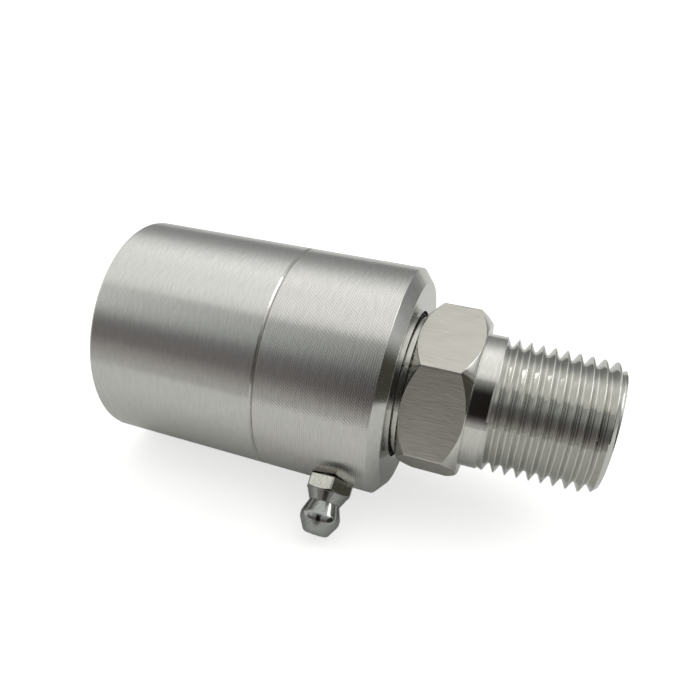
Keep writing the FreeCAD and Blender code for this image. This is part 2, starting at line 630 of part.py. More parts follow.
def shaft_circlip():
    """Sprung steel clip in the spindle's groove that keeps the bearings on the journal."""
    body = body_named("shaft_circlip")
    inner = f"({CIRCLIP_GROOVE_RADIUS} + dim.seat_clearance)"
    band_radius = f"({inner} + dim.circlip_band)"
    eye_place = "dim.circlip_eye_spread / 2"
    eye_height = f"({inner} + dim.circlip_eye_rise)"
    end = f"({REAR_BEARING} - dim.ring_side_clearance)"
    start = f"({CIRCLIP_START} + dim.ring_side_clearance)"
    thickness = "dim.circlip_thickness - 2 * dim.ring_side_clearance"
    turned(
        body,
        "circlip_band",
        [(start, inner), (end, inner), (end, band_radius), (start, band_radius)],
    )
    ears = sketch_on(body, "circlip_ears_outline", "YZ_Plane", start)
    for side in ("0 - ", ""):
        circle(ears, f"{side}{eye_place}", eye_height, "dim.circlip_ear_diameter / 2")
    pad = add_feature(body, "PartDesign::Pad", "circlip_ears", ears)
    pad.setExpression("Length", thickness)
    doc.recompute()
    eyes = sketch_on(body, "circlip_eyes_outline", "YZ_Plane", start)
    for side in ("0 - ", ""):
        circle(eyes, f"{side}{eye_place}", eye_height, "dim.circlip_eye_diameter / 2")
    pocketed(body, "circlip_eyes", eyes, reverse=True)
    mouth = sketch_on(body, "circlip_mouth_outline", "YZ_Plane", start)
    half = "(dim.circlip_mouth / 2)"
    high = "(dim.circlip_room_diameter / 2)"
    low = f"({JOURNAL_RADIUS} / 2)"
    outline(mouth, [(f"0 - {half}", low), (half, low), (half, high), (f"0 - {half}", high)])
    pocketed(body, "circlip_mouth", mouth, reverse=True)
    return body


def point_out(piece):
    """Turn a piece modelled along +Z so that it points the way of the nipple, at its station."""
    turned_out = FreeCAD.Rotation(FreeCAD.Vector(1, 0, 0), HALF_TURN - size("dim.nipple_lean"))
    piece.Placement = FreeCAD.Placement(FreeCAD.Vector(0, 0, 0), turned_out)
    piece.setExpression("Placement.Base.x", NIPPLE_STATION)
    piece.setExpression("Placement.Rotation.Angle", f"({HALF_TURN} - dim.nipple_lean) * 1 deg")


def grease_nipple():
    """Straight grease nipple: threaded shank, hexagon, cone, neck and the gripped head."""
    body = body_named("grease_nipple")
    crimp_end = f"({SHANK_END} + dim.nipple_crimp_length)"
    bore = "(dim.nipple_bore_diameter / 2)"
    mouth = "(dim.nipple_mouth_diameter / 2)"
    turned(
        body,
        "nipple_turning",
        [
            ("dim.nipple_crimp_diameter / 2", SHANK_END),
            ("dim.nipple_shank_diameter / 2", SHANK_END),
            ("dim.nipple_shank_diameter / 2", NIPPLE_SEAT),
            ("dim.nipple_flats / 2", NIPPLE_SEAT),
            ("dim.nipple_flats / 2", NIPPLE_HEX_END),
            ("dim.nipple_collar_diameter / 2", NIPPLE_NECK),
            ("dim.nipple_neck_diameter / 2", NIPPLE_NECK),
            ("dim.nipple_head_diameter / 2", NIPPLE_EQUATOR),
            ("dim.nipple_tip_diameter / 2", NIPPLE_TIP),
            (mouth, NIPPLE_TIP),
            (mouth, SEAT_CONE_START),
            (bore, SEAT_CONE_END),
            (bore, crimp_end),
            ("dim.nipple_crimp_diameter / 2", crimp_end),
        ],
        axis="Z_Axis",
    )
    flats = sketch_on(body, "nipple_hexagon_outline", "XY_Plane", NIPPLE_SEAT)
    hexagon(flats, "dim.nipple_flats", "dim.nipple_roll")
    # The block is hollow where the turned part is, so it leaves the passage open
    circle(flats, "0", "0", f"({bore} + dim.nipple_flats / 2) / 2")
    block = add_feature(body, "PartDesign::Pad", "nipple_hexagon", flats)
    block.setExpression("Length", "dim.nipple_hex_height")
    doc.recompute()
    rounds = [
        ("head_round", "dim.nipple_head_diameter / 2", NIPPLE_EQUATOR, "dim.nipple_head_round"),
        ("tip_round", "dim.nipple_tip_diameter / 2", NIPPLE_TIP, "dim.nipple_tip_round"),
    ]
    for name, radius, height, rounding in rounds:
        base = body.Tip
        edge = circle_edge(base.Shape, size(radius), size(height))
        fillet = body.newObject("PartDesign::Fillet", name)
        fillet.Base = (base, [edge])
        fillet.setExpression("Radius", rounding)
        doc.recompute()
    point_out(body)
    return body


def circle_edge(shape, radius, height):
    """The name of the round edge with this radius and height on the nipple's axis."""
    for index, edge in enumerate(shape.Edges, start=1):
        curve = edge.Curve
        if isinstance(curve, Part.Circle):
            miss = max(abs(curve.Radius - radius), abs(curve.Center.z - height))
            if miss < SAME_PLACE:
                return f"Edge{index}"
    raise ValueError(f"no round edge of radius {radius} at height {height}")


def nipple_valve_ball():
    """Small steel ball that closes the nipple's mouth."""
    ball = doc.addObject("Part::Sphere", "nipple_valve_ball")
    ball.Label = "nipple_valve_ball"
    ball.setExpression("Radius", VALVE_RADIUS)
    ball.setExpression("Placement.Base.x", NIPPLE_STATION)
    ball.setExpression("Placement.Base.y", f"0 - {VALVE_CENTRE} * sin(dim.nipple_lean * 1 deg)")
    ball.setExpression("Placement.Base.z", f"0 - {VALVE_CENTRE} * cos(dim.nipple_lean * 1 deg)")
    return ball


def nipple_spring():
    """Compression spring between the nipple's rolled-in end and the valve ball."""
    body = body_named("nipple_spring")
    wire = "(dim.spring_wire_diameter / 2)"
    coil = "(dim.spring_coil_diameter / 2)"
    low = f"({SHANK_END} + dim.nipple_crimp_length + {wire} + dim.valve_gap)"
    reach = f"sqrt(({VALVE_RADIUS} + {wire}) * ({VALVE_RADIUS} + {wire}) - {coil} * {coil})"
    high = f"({VALVE_CENTRE} - {reach} - dim.valve_gap * 2)"
    section = sketch_on(body, "wire_outline", "XZ_Plane")
    circle(section, coil, low, wire)
    helix = add_feature(body, "PartDesign::AdditiveHelix", "coil", section)
    helix.ReferenceAxis = (origin_item(body, "Z_Axis"), [""])
    helix.Mode = "height-turns-angle"
    helix.setExpression("Height", f"{high} - {low}")
    helix.setExpression("Turns", "dim.spring_turns")
    doc.recompute()
    point_out(body)
    return body


def seals():
    """The rings on the spindle's tail: guide ring, sealing rings and back-up ring."""
    side = "dim.ring_side_clearance"
    backup_start = f"({MAIN_SEAL_START} + dim.o_ring_room)"
    ring_outer = f"({SEAL_BORE_RADIUS} - dim.seat_clearance)"
    seal_inner = f"({SEAL_GROOVE_RADIUS} + dim.seat_clearance)"
    guide_inner = f"({GUIDE_GROOVE_RADIUS} + dim.seat_clearance)"
    return [
        ring("guide_ring", f"{GUIDE_START} + {side}", f"{GUIDE_END} - {side}", guide_inner, ring_outer),
        o_ring(
            "pressure_o_ring",
            f"{MAIN_SEAL_START} + dim.o_ring_room / 2",
            SEAL_GROOVE_RADIUS,
            SEAL_BORE_RADIUS,
        ),
        ring("backup_ring", backup_start, f"{MAIN_SEAL_END} - {side}", seal_inner, ring_outer),
        o_ring(
            "second_o_ring",
            f"{SECOND_SEAL_START} + dim.o_ring_room / 2",
            SEAL_GROOVE_RADIUS,
            SEAL_BORE_RADIUS,
        ),
    ]


pieces = [rear_body(), bearing_housing(), spindle()]
pieces += bearing("front", FRONT_BEARING)
pieces += bearing("rear", REAR_BEARING)
pieces += [outer_spacer(), inner_spacer(), dust_wiper(), shaft_circlip()]
pieces += seals()
pieces += [grease_nipple(), nipple_valve_ball(), nipple_spring()]
doc.recompute()

for item in doc.Objects:
    if "Invalid" in item.State or "Error" in item.State:
        raise RuntimeError(f"{item.Label} could not be built: {item.State}")
for piece in pieces:
    if piece.Shape.isNull() or not piece.Shape.isValid():
        raise RuntimeError(f"{piece.Label} has no valid shape")
for piece in pieces:
    piece.Shape.exportStep(f"parts/{piece.Label}.step")
    print(piece.Label, len(piece.Shape.Solids), round(piece.Shape.Volume, 2))
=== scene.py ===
import json
import math

import bmesh
import bpy
from mathutils import Matrix, Vector


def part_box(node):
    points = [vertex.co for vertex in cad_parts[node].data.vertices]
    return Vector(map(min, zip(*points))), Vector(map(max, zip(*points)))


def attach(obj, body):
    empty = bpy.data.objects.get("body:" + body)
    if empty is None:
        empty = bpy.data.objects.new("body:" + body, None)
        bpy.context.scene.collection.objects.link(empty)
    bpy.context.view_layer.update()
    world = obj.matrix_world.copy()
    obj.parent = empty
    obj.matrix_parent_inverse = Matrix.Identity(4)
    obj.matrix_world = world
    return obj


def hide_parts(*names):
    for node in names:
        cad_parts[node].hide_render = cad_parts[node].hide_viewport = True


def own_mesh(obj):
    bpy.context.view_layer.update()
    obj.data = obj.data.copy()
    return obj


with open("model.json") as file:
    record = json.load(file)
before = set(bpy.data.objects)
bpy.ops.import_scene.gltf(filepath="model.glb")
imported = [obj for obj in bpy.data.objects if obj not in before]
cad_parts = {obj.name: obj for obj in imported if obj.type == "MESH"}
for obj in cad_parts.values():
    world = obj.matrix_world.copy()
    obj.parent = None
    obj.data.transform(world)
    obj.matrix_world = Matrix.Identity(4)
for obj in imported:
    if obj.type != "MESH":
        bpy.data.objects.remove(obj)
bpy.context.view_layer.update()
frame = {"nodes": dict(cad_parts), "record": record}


# Rear half of the housing: a stainless steel bar turned to 38 mm, bored and tapped at its rear
# end for a half inch pipe, with a seal bore and the spigot that the front half screws onto.
# Sizes are in millimetres, and MM turns them into the scene's metres
MM = 0.001
record_mounts = {mount["name"]: mount for mount in frame["record"]["mounts"]}
rear_low, rear_high = (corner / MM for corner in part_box("rear_body"))
front_low, front_high = (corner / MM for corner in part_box("bearing_housing"))
REAR_FACE = rear_low.x
SEAM = front_low.x
HOUSING_RADIUS = rear_high.z
PORT_RADIUS = record_mounts["rear_port"]["dims"]["r_mm"]
PORT_LENGTH = record_mounts["rear_port"]["dims"]["length_mm"]
PORT_START = REAR_FACE + 0.1
PORT_MOUTH = 1.2
RELIEF_END = PORT_LENGTH + 1.8
RELIEF_RADIUS = PORT_RADIUS + 1.2
LEDGE_END = RELIEF_END + 2
FLOW_RADIUS = 5.5
SEAL_BORE_RADIUS = 9.05
ROOM_RADIUS = 12.1
ROOM_START = rear_high.x - 1.8
SPIGOT_END = rear_high.x
SPIGOT_RADIUS = 14.95
UNDERCUT_END = SEAM + 1
UNDERCUT_RADIUS = 14.15
REAR_SEAM_BREAK = 0.5
HOUSING_COLUMNS = 288

# The 55 degree pipe thread: the standard gives its depth and its rounding as shares of the pitch
PITCH = 1.814
THREAD_DEPTH = 0.6403 * PITCH
THREAD_ROUND = 0.1373 * PITCH
FLANK_ANGLE = math.radians(90 - 55 / 2)
ARC_STEPS = 3

# How meshes are made: an arc takes at most this share of a side, spots this near become one, edges
# this short are dissolved, and shading breaks at edges this sharp
SIDE_SHARE = 0.4
SAME_SPOT = 0.0008
SHORTEST_EDGE = 0.0005
SHARP_EDGE = math.radians(38)


def thread_depth(crest_round):
    """Depth from crest to root of a 55 degree thread, more where its crest is sharper."""
    return THREAD_DEPTH + (THREAD_ROUND - crest_round) * (1 / math.cos(FLANK_ANGLE) - 1)


def thread_height(offset, crest_round):
    """Height above the root at an offset along the axis from a crest."""
    away = abs((offset + PITCH / 2) % PITCH - PITCH / 2)
    depth = thread_depth(crest_round)
    crest_reach = crest_round * math.sin(FLANK_ANGLE)
    root_reach = THREAD_ROUND * math.sin(FLANK_ANGLE)
    if away < crest_reach:
        return depth - crest_round + math.sqrt(crest_round ** 2 - away ** 2)
    if away > PITCH / 2 - root_reach:
        return THREAD_ROUND - math.sqrt(max(THREAD_ROUND ** 2 - (PITCH / 2 - away) ** 2, 0))
    flank_top = depth - crest_round * (1 - math.cos(FLANK_ANGLE))
    flank_foot = THREAD_ROUND * (1 - math.cos(FLANK_ANGLE))
    share = (away - crest_reach) / (PITCH / 2 - crest_reach - root_reach)
    return flank_top - share * (flank_top - flank_foot)


def thread_stations(angle, start, end, phase, crest_round):
    """Stations that follow the helix between two ends, the same number at every angle."""
    turns = math.ceil((end - start) / PITCH) + 2
    first = start - PITCH - (start - PITCH - phase) % PITCH
    stations = []
    for turn in range(turns):
        for centre, rounding in ((0, crest_round), (PITCH / 2, THREAD_ROUND)):
            for step in range(-ARC_STEPS, ARC_STEPS + 1):
                offset = centre + rounding * math.sin(FLANK_ANGLE * step / ARC_STEPS)
                place = first + (turn + angle / math.tau) * PITCH + offset
                stations.append(min(max(place, start), end))
    return stations


def rounded(corners, steps=3):
    """The outline's points with each corner (x, radius, rounding) turned into a small arc."""
    points = []
    count = len(corners)
    for index, (x, radius, rounding) in enumerate(corners):
        here = Vector((x, radius))
        before = Vector(corners[index - 1][:2]) - here
        after = Vector(corners[(index + 1) % count][:2]) - here
        reach = min(rounding, before.length * SIDE_SHARE, after.length * SIDE_SHARE)
        start = here + before.normalized() * reach
        end = here + after.normalized() * reach
        for step in range(steps + 1):
            share = step / steps
            bend = start.lerp(here, share).lerp(here.lerp(end, share), share)
            points.append((bend.x, bend.y))
    return points


def turned_mesh(name, profile, angles, place=None):
    """A closed mesh round the X axis, from a profile with as many points at every angle."""
    shape = bmesh.new()
    columns = []
    for angle in angles:
        column = []
        for x, radius in profile(angle):
            spot = Vector((x, radius * math.cos(angle), radius * math.sin(angle))) * MM
            column.append(shape.verts.new(spot))
        columns.append(column)
    for left, right in zip(columns, columns[1:]):
        for index in range(len(left)):
            shape.faces.new((left[index - 1], left[index], right[index], right[index - 1]))
    bmesh.ops.remove_doubles(shape, verts=shape.verts, dist=SAME_SPOT * MM)
    bmesh.ops.dissolve_degenerate(shape, edges=shape.edges, dist=SHORTEST_EDGE * MM)
    bmesh.ops.recalc_face_normals(shape, faces=shape.faces)
    if shape.calc_volume(signed=True) < 0:
        bmesh.ops.reverse_faces(shape, faces=shape.faces)
    if place is not None:
        shape.transform(place)
    mesh = bpy.data.meshes.new(name)
    shape.to_mesh(mesh)
    shape.free()
    piece = bpy.data.objects.new(name, mesh)
    bpy.context.scene.collection.objects.link(piece)
    soften(piece)
    return piece


def soften(piece):
    """Smooth shading with the sharp edges kept, and flat faces kept flat beside small roundings."""
    shape = bmesh.new()
    shape.from_mesh(piece.data)
    for face in shape.faces:
        face.smooth = True
    for edge in shape.edges:
        edge.smooth = len(edge.link_faces) == 2 and edge.calc_face_angle() < SHARP_EDGE
    shape.to_mesh(piece.data)
    shape.free()
    flat = piece.modifiers.new("flat faces", "WEIGHTED_NORMAL")
    flat.keep_sharp = True


def full_turn(columns):
    """Evenly spaced angles for one turn, the first repeated at the end."""
    return [math.tau * index / columns for index in range(columns + 1)]


def rear_profile(angle):
    """Outline of the rear half, with the tapped port following the helix."""
    outside = rounded([
        (SPIGOT_END, ROOM_RADIUS, 0.2),
        (SPIGOT_END, SPIGOT_RADIUS, 0.4),
        (UNDERCUT_END, SPIGOT_RADIUS, 0.1),
        (UNDERCUT_END, UNDERCUT_RADIUS, 0.1),
        (SEAM, UNDERCUT_RADIUS, 0.1),
        (SEAM, HOUSING_RADIUS - REAR_SEAM_BREAK, 0.03),
        (SEAM - REAR_SEAM_BREAK, HOUSING_RADIUS, 0.03),
        (REAR_FACE, HOUSING_RADIUS, 0.5),
        (REAR_FACE, PORT_RADIUS + PORT_MOUTH, 0.1),
    ])
    port = []
    for x in thread_stations(angle, PORT_START, PORT_LENGTH, 0, THREAD_ROUND):
        root = PORT_RADIUS + THREAD_DEPTH
        groove = root - thread_height(x - angle / math.tau * PITCH, THREAD_ROUND)
        port.append((x, max(groove, PORT_RADIUS + PORT_MOUTH - (x - REAR_FACE))))
    inside = rounded([
        (PORT_LENGTH, RELIEF_RADIUS, 0.2),
        (RELIEF_END, RELIEF_RADIUS, 0.2),
        (RELIEF_END, FLOW_RADIUS, 0.1),
        (LEDGE_END, FLOW_RADIUS, 0.1),
        (LEDGE_END, SEAL_BORE_RADIUS, 0.1),
        (ROOM_START, SEAL_BORE_RADIUS, 0.2),
        (ROOM_START, ROOM_RADIUS, 0.1),
    ])
    return outside + port + inside


def linear(code):
    """An sRGB hex colour as linear red, green, blue and alpha."""
    channels = []
    for place in (0, 2, 4):
        level = int(code[place:place + 2], 16) / 255
        channels.append(level / 12.92 if level <= 0.04045 else ((level + 0.055) / 1.055) ** 2.4)
    return (*channels, 1.0)


def add(tree, kind, settings=None, links=None):
    """One shader node with its settings and the sockets that feed it."""
    node = tree.nodes.new(kind)
    for key, value in (settings or {}).items():
        if isinstance(key, int) or key in node.inputs:
            node.inputs[key].default_value = value
        else:
            setattr(node, key, value)
    for key, source in (links or {}).items():
        tree.links.new(source, node.inputs[key])
    return node


def new_material(name):
    """An empty material and its node tree."""
    material = bpy.data.materials.new(name)
    material.use_nodes = True
    material.node_tree.nodes.clear()
    return material, material.node_tree


def give(piece, material):
    """Puts one material on the whole piece."""
    piece.data.materials.clear()
    piece.data.materials.append(material)


# Turned stainless steel: the tool leaves fine rings round the bar, so reflections stay crisp round
# it and spread along it. A finishing cut feeds 0.1 to 0.2 mm a turn. The rings are drawn 0.26 mm
# apart on the rear half and 0.34 mm on the front half, as fine as the picture can show.
CHATTER_WAVES = 240
RING_STRETCH = 0.16
PATCH_SIZE = 6
ROUGHNESS_SWING = 0.2
NOISE_LOW = 0.3
NOISE_HIGH = 0.7


def turned_steel(name, colour, painted_groove_shade, roughness, ring, depth, spread, weave=0.0):
    """Turned steel: the rings' spacing and depth in mm, how far glints spread, share of chatter."""
    spacing = ring * MM
    material, tree = new_material(name)
    where = add(tree, "ShaderNodeTexCoord")
    parts = add(tree, "ShaderNodeSeparateXYZ", {}, {"Vector": where.outputs["Object"]})

    # The tool's feed is counted along the bar on its outside and along the radius on its end faces
    across = add(tree, "ShaderNodeVectorMath", {"operation": "MULTIPLY", 1: (0.0, 1.0, 1.0)},
                 {0: where.outputs["Object"]})
    radius = add(tree, "ShaderNodeVectorMath", {"operation": "LENGTH"}, {0: across.outputs["Vector"]})
    feed = add(tree, "ShaderNodeMath", {"operation": "ADD"},
               {0: parts.outputs["X"], 1: radius.outputs["Value"]})
    cut_place = add(tree, "ShaderNodeCombineXYZ", {},
                    {"X": feed.outputs[0], "Y": parts.outputs["Y"], "Z": parts.outputs["Z"]})
    rings = add(tree, "ShaderNodeMapping",
                {"Scale": (1 / spacing, RING_STRETCH / spacing, RING_STRETCH / spacing)},
                {"Vector": cut_place.outputs["Vector"]})
    lines = add(tree, "ShaderNodeTexNoise", {"Scale": 1.0, "Detail": 2.0, "Roughness": 0.5},
                {"Vector": rings.outputs["Vector"]})
    marks = add(tree, "ShaderNodeMapRange", {"From Min": NOISE_LOW, "From Max": NOISE_HIGH},
                {"Value": lines.outputs["Fac"]})

    # Along the tool's helical path the cut is a little deeper at each chatter wave, and half a wave
    # is left over at each turn, so the marks of neighbouring turns alternate
    ahead = add(tree, "ShaderNodeMath", {"operation": "MULTIPLY", 1: -1.0}, {0: parts.outputs["Y"]})
    around_axis = add(tree, "ShaderNodeMath", {"operation": "ARCTAN2"},
                      {0: parts.outputs["Z"], 1: ahead.outputs[0]})
    path = add(tree, "ShaderNodeMath", {"operation": "MULTIPLY", 1: math.tau / spacing},
               {0: feed.outputs[0]})
    turn_wave = add(tree, "ShaderNodeMath", {"operation": "SINE"}, {0: path.outputs[0]})
    half_path = add(tree, "ShaderNodeMath", {"operation": "MULTIPLY", 1: 0.5}, {0: path.outputs[0]})
    chatter_path = add(tree, "ShaderNodeMath", {"operation": "MULTIPLY_ADD", 1: CHATTER_WAVES + 0.5},
                       {0: around_axis.outputs[0], 2: half_path.outputs[0]})
    chatter = add(tree, "ShaderNodeMath", {"operation": "SINE"}, {0: chatter_path.outputs[0]})
    crossed = add(tree, "ShaderNodeMath", {"operation": "MULTIPLY", 1: 0.5 * weave}, {0: chatter.outputs[0]})
    woven = add(tree, "ShaderNodeMath", {"operation": "MULTIPLY_ADD", 1: 0.5 * weave},
                {0: turn_wave.outputs[0], 2: crossed.outputs[0]})
    height = add(tree, "ShaderNodeMath", {"operation": "ADD"},
                 {0: marks.outputs["Result"], 1: woven.outputs[0]})
    patches = add(tree, "ShaderNodeTexNoise", {"Scale": 1 / (PATCH_SIZE * MM), "Detail": 2.0},
                  {"Vector": where.outputs["Object"]})
    # The colour darkens to the second tone in the rings' grooves and chatter. This is painted shade of the
    # grooves, on top of their bump
    tone = add(tree, "ShaderNodeMix", {"data_type": "RGBA", 6: linear(painted_groove_shade), 7: linear(colour)},
               {0: height.outputs[0]})
    rough = add(tree, "ShaderNodeMapRange",
                {"To Min": roughness * (1 - ROUGHNESS_SWING), "To Max": roughness * (1 + ROUGHNESS_SWING)},
                {"Value": patches.outputs["Fac"]})
    bump = add(tree, "ShaderNodeBump", {"Strength": 1.0, "Distance": depth * MM},
               {"Height": height.outputs[0]})
    around = add(tree, "ShaderNodeTangent", {"direction_type": "RADIAL", "axis": "X"})
    steel = add(tree, "ShaderNodeBsdfPrincipled",
                {"Metallic": 1.0, "Anisotropic": spread, "Anisotropic Rotation": 0.25},
                {"Base Color": tone.outputs[2], "Roughness": rough.outputs["Result"],
                 "Normal": bump.outputs["Normal"], "Tangent": around.outputs["Tangent"]})
    add(tree, "ShaderNodeOutputMaterial", {}, {"Surface": steel.outputs["BSDF"]})
    return material


# The rear half's fine feed gives a silky grey with soft bands of light along the bar
fine_turned = turned_steel("fine_turned_stainless_steel", "D9D9D5", "CFCECA",
                           roughness=0.22, ring=0.26, depth=0.0025, spread=0.85, weave=0.3)
rear_half = turned_mesh("rear_half", rear_profile, full_turn(HOUSING_COLUMNS))
give(rear_half, fine_turned)
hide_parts("rear_body")
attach(rear_half, "housing")


# Front half of the housing: turned with a coarser feed, bored for two ball bearings, bevelled at
# its nose, with a small flat and a tapped hole for the grease nipple. It screws onto the spigot.
FRONT_FACE = front_high.x
BEVEL_LENGTH = 1.65
FACE_RADIUS = HOUSING_RADIUS - 2
THREADED_BORE = 15.0
BEARING_BORE = 14.02
FACE_BORE = 12.3
WIPER_SEAT = 13.7
WIPER_FRONT = FRONT_FACE - 0.6
WIPER_BACK = WIPER_FRONT - 1.3
BEARING_STOP = WIPER_BACK - 1
FRONT_SEAM_BREAK = 0.16
nipple_mount = record_mounts["nipple_head"]
NIPPLE_STATION = nipple_mount["pos_m"][0] / MM
nipple_out = Vector(nipple_mount["axis"]).normalized()
SEAT = HOUSING_RADIUS - 0.1
SPOT_RADIUS = 4.4
TAPPED_RADIUS = 3.02
TAPPED_END = 15.2
DRILLING_RADIUS = 0.8
DRILLING_END = 13.1
CUTTER_TOP = HOUSING_RADIUS + 2
CUTTER_COLUMNS = 64
NOSE_FACING = 0.3


def front_profile(angle):
    """Outline of the front half."""
    return rounded([
        (SEAM, THREADED_BORE, 0.1),
        (SPIGOT_END, THREADED_BORE, 0.1),
        (SPIGOT_END, BEARING_BORE, 0.1),
        (BEARING_STOP, BEARING_BORE, 0.1),
        (BEARING_STOP, FACE_BORE, 0.1),
        (WIPER_BACK, FACE_BORE, 0.1),
        (WIPER_BACK, WIPER_SEAT, 0.1),
        (WIPER_FRONT, WIPER_SEAT, 0.1),
        (WIPER_FRONT, FACE_BORE, 0.1),
        (FRONT_FACE, FACE_BORE, 0.12),
        (FRONT_FACE, FACE_RADIUS, 0.12),
        (FRONT_FACE - BEVEL_LENGTH, HOUSING_RADIUS, 0.06),
        (SEAM + FRONT_SEAM_BREAK, HOUSING_RADIUS, 0.03),
        (SEAM, HOUSING_RADIUS - FRONT_SEAM_BREAK, 0.03),
    ])


def along_nipple():
    """Placement that turns a mesh made round X so that it points out along the nipple."""
    sideways = nipple_out.cross(Vector((1, 0, 0)))
    turn = Matrix((nipple_out, Vector((1, 0, 0)), sideways)).transposed().to_4x4()
    return Matrix.Translation(Vector((NIPPLE_STATION * MM, 0, 0))) @ turn


def nipple_hole(angle):
    """Outline of the cutter for the flat, the tapped hole and the grease drilling."""
    return [
        (DRILLING_END, 0), (DRILLING_END, DRILLING_RADIUS), (TAPPED_END, DRILLING_RADIUS),
        (TAPPED_END, TAPPED_RADIUS), (SEAT, TAPPED_RADIUS), (SEAT, SPOT_RADIUS),
        (CUTTER_TOP, SPOT_RADIUS), (CUTTER_TOP, 0),
    ]


# The front half's coarser feed chattered, which gives it a finely woven look
coarse_turned = turned_steel("coarse_turned_stainless_steel", "DBDAD6", "CAC9C5",
                             roughness=0.2, ring=0.34, depth=0.0035, spread=0.85, weave=1.0)
front_half = turned_mesh("front_half", front_profile, full_turn(HOUSING_COLUMNS))
hole_cutter = turned_mesh("hole_cutter", nipple_hole, full_turn(CUTTER_COLUMNS), along_nipple())

# The hole is cut into the bare mesh, and the shading is softened again after it
front_half.modifiers.clear()
cut = front_half.modifiers.new("nipple hole", "BOOLEAN")
cut.operation = "DIFFERENCE"
cut.solver = "EXACT"
cut.object = hole_cutter
bpy.context.view_layer.update()
cut_mesh = bpy.data.meshes.new_from_object(front_half.evaluated_get(bpy.context.evaluated_depsgraph_get()))
front_half.modifiers.clear()
front_half.data = cut_mesh
bpy.data.objects.remove(hole_cutter)
soften(front_half)
give(front_half, coarse_turned)

# The nose and its bevel are faced with a fine feed, so they mirror more than the turned outside
faced = turned_steel("finely_faced_stainless_steel", "D4D4D0", "CBCBC7",
                     roughness=0.13, ring=0.2, depth=0.001, spread=0.4)
front_half.data.materials.append(faced)
for face in front_half.data.polygons:
    if face.center.x / MM > FRONT_FACE - BEVEL_LENGTH and face.normal.x > NOSE_FACING:
        face.material_index = 1
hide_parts("bearing_housing")
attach(front_half, "housing")


# Ball bearings, spacers, circlip and the nipple's valve ball. They sit inside and keep the shape
# of the solid model: races and spacers of ground bearing steel, polished balls, and a circlip of
# blued spring steel in its groove on the journal.

# Ground steel has a soft even shine, the polished balls are sharp mirrors, and blued steel is dark
ground_steel = turned_steel("ground_bearing_steel", "D9DADB", "CFD0D2",
                            roughness=0.16, ring=0.15, depth=0.001, spread=0.3)
polished_steel = turned_steel("polished_ball_steel", "DEDFE0", "D6D7D9",
                              roughness=0.06, ring=0.5, depth=0.0002, spread=0.0)
blued_steel = turned_steel("blued_spring_steel", "6E7074", "55575C",
                           roughness=0.3, ring=0.3, depth=0.002, spread=0.2)
inner_nodes = {
    ground_steel: ("front_outer_race", "front_inner_race", "rear_outer_race", "rear_inner_race",
                   "outer_spacer", "inner_spacer"),
    polished_steel: ("front_balls", "rear_balls", "nipple_valve_ball"),
    blued_steel: ("shaft_circlip",),
}
for steel, names in inner_nodes.items():
    for name in names:
        give(frame["nodes"][name], steel)


# Cages, guide ring, back-up ring and the two sealing rings. The cages are natural polyamide and
# space the balls, the guide and back-up rings are a white low-friction plastic, and the sealing
# rings are moulded nitrile rubber. All four rings sit in grooves on the spindle's tail.
SPECKLE_DEPTH = 0.01


def plain_plastic(name, colour, shade, roughness, grain):
    """Matt plastic or rubber with a fine speckle, its grain in millimetres."""
    material, tree = new_material(name)
    where = add(tree, "ShaderNodeTexCoord")
    speckle = add(tree, "ShaderNodeTexNoise", {"Scale": 1 / (grain * MM), "Detail": 4.0},
                  {"Vector": where.outputs["Object"]})
    tone = add(tree, "ShaderNodeMix", {"data_type": "RGBA", 6: linear(colour), 7: linear(shade)},
               {0: speckle.outputs["Fac"]})
    bump = add(tree, "ShaderNodeBump", {"Strength": 0.6, "Distance": SPECKLE_DEPTH * MM},
               {"Height": speckle.outputs["Fac"]})
    body = add(tree, "ShaderNodeBsdfPrincipled", {"Roughness": roughness},
               {"Base Color": tone.outputs[2], "Normal": bump.outputs["Normal"]})
    add(tree, "ShaderNodeOutputMaterial", {}, {"Surface": body.outputs["BSDF"]})
    return material


# Polyamide is cream and a little waxy, the other plastic nearly white, the rubber black and dull
polyamide = plain_plastic("natural_polyamide", "D9CFA8", "CFC49A", roughness=0.45, grain=0.2)
white_plastic = plain_plastic("white_low_friction_plastic", "E6E5E0", "DAD9D3", roughness=0.4, grain=0.2)
black_rubber = plain_plastic("black_nitrile_rubber", "121211", "1E1E1C", roughness=0.6, grain=0.12)
for name in ("front_cage", "rear_cage"):
    give(frame["nodes"][name], polyamide)
for name in ("guide_ring", "backup_ring"):
    give(frame["nodes"][name], white_plastic)
for name in ("pressure_o_ring", "second_o_ring"):
    give(frame["nodes"][name], black_rubber)


# Dust wiper: a moulded nitrile rubber ring that is pressed into the groove behind the nose. Its
# thin lip fills the gap round the neck and is a little uneven at its edge.
wiper_low, wiper_high = (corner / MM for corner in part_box("dust_wiper"))
NECK_RADIUS = 11.5
WIPER_CLEARANCE = 0.05
WIPER_INNER = NECK_RADIUS + WIPER_CLEARANCE
LIP_RADIUS = WIPER_INNER + 0.55
WIPER_OUTER = wiper_high.z
SHOULDER = WIPER_FRONT - WIPER_CLEARANCE

# Waves round the lip's edge, each with its number and its height
LIP_WAVES = ((7, 0.06), (17, 0.05), (41, 0.03))


def wiper_profile(angle):
    """Outline of the wiper, its lip longer or shorter by a few hundredths."""
    uneven = sum(size * math.sin(waves * angle + waves) for waves, size in LIP_WAVES)
    tip = wiper_high.x - abs(uneven)
    return rounded([
        (wiper_low.x, WIPER_INNER, 0.1),
        (tip, WIPER_INNER, 0.12),
        (tip, LIP_RADIUS, 0.2),
        (SHOULDER, LIP_RADIUS, 0.1),
        (SHOULDER, WIPER_OUTER, 0.15),
        (wiper_low.x, WIPER_OUTER, 0.15),
    ])


wiper_ring = turned_mesh("wiper_ring", wiper_profile, full_turn(HOUSING_COLUMNS))
give(wiper_ring, black_rubber)
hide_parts("dust_wiper")
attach(wiper_ring, "housing")


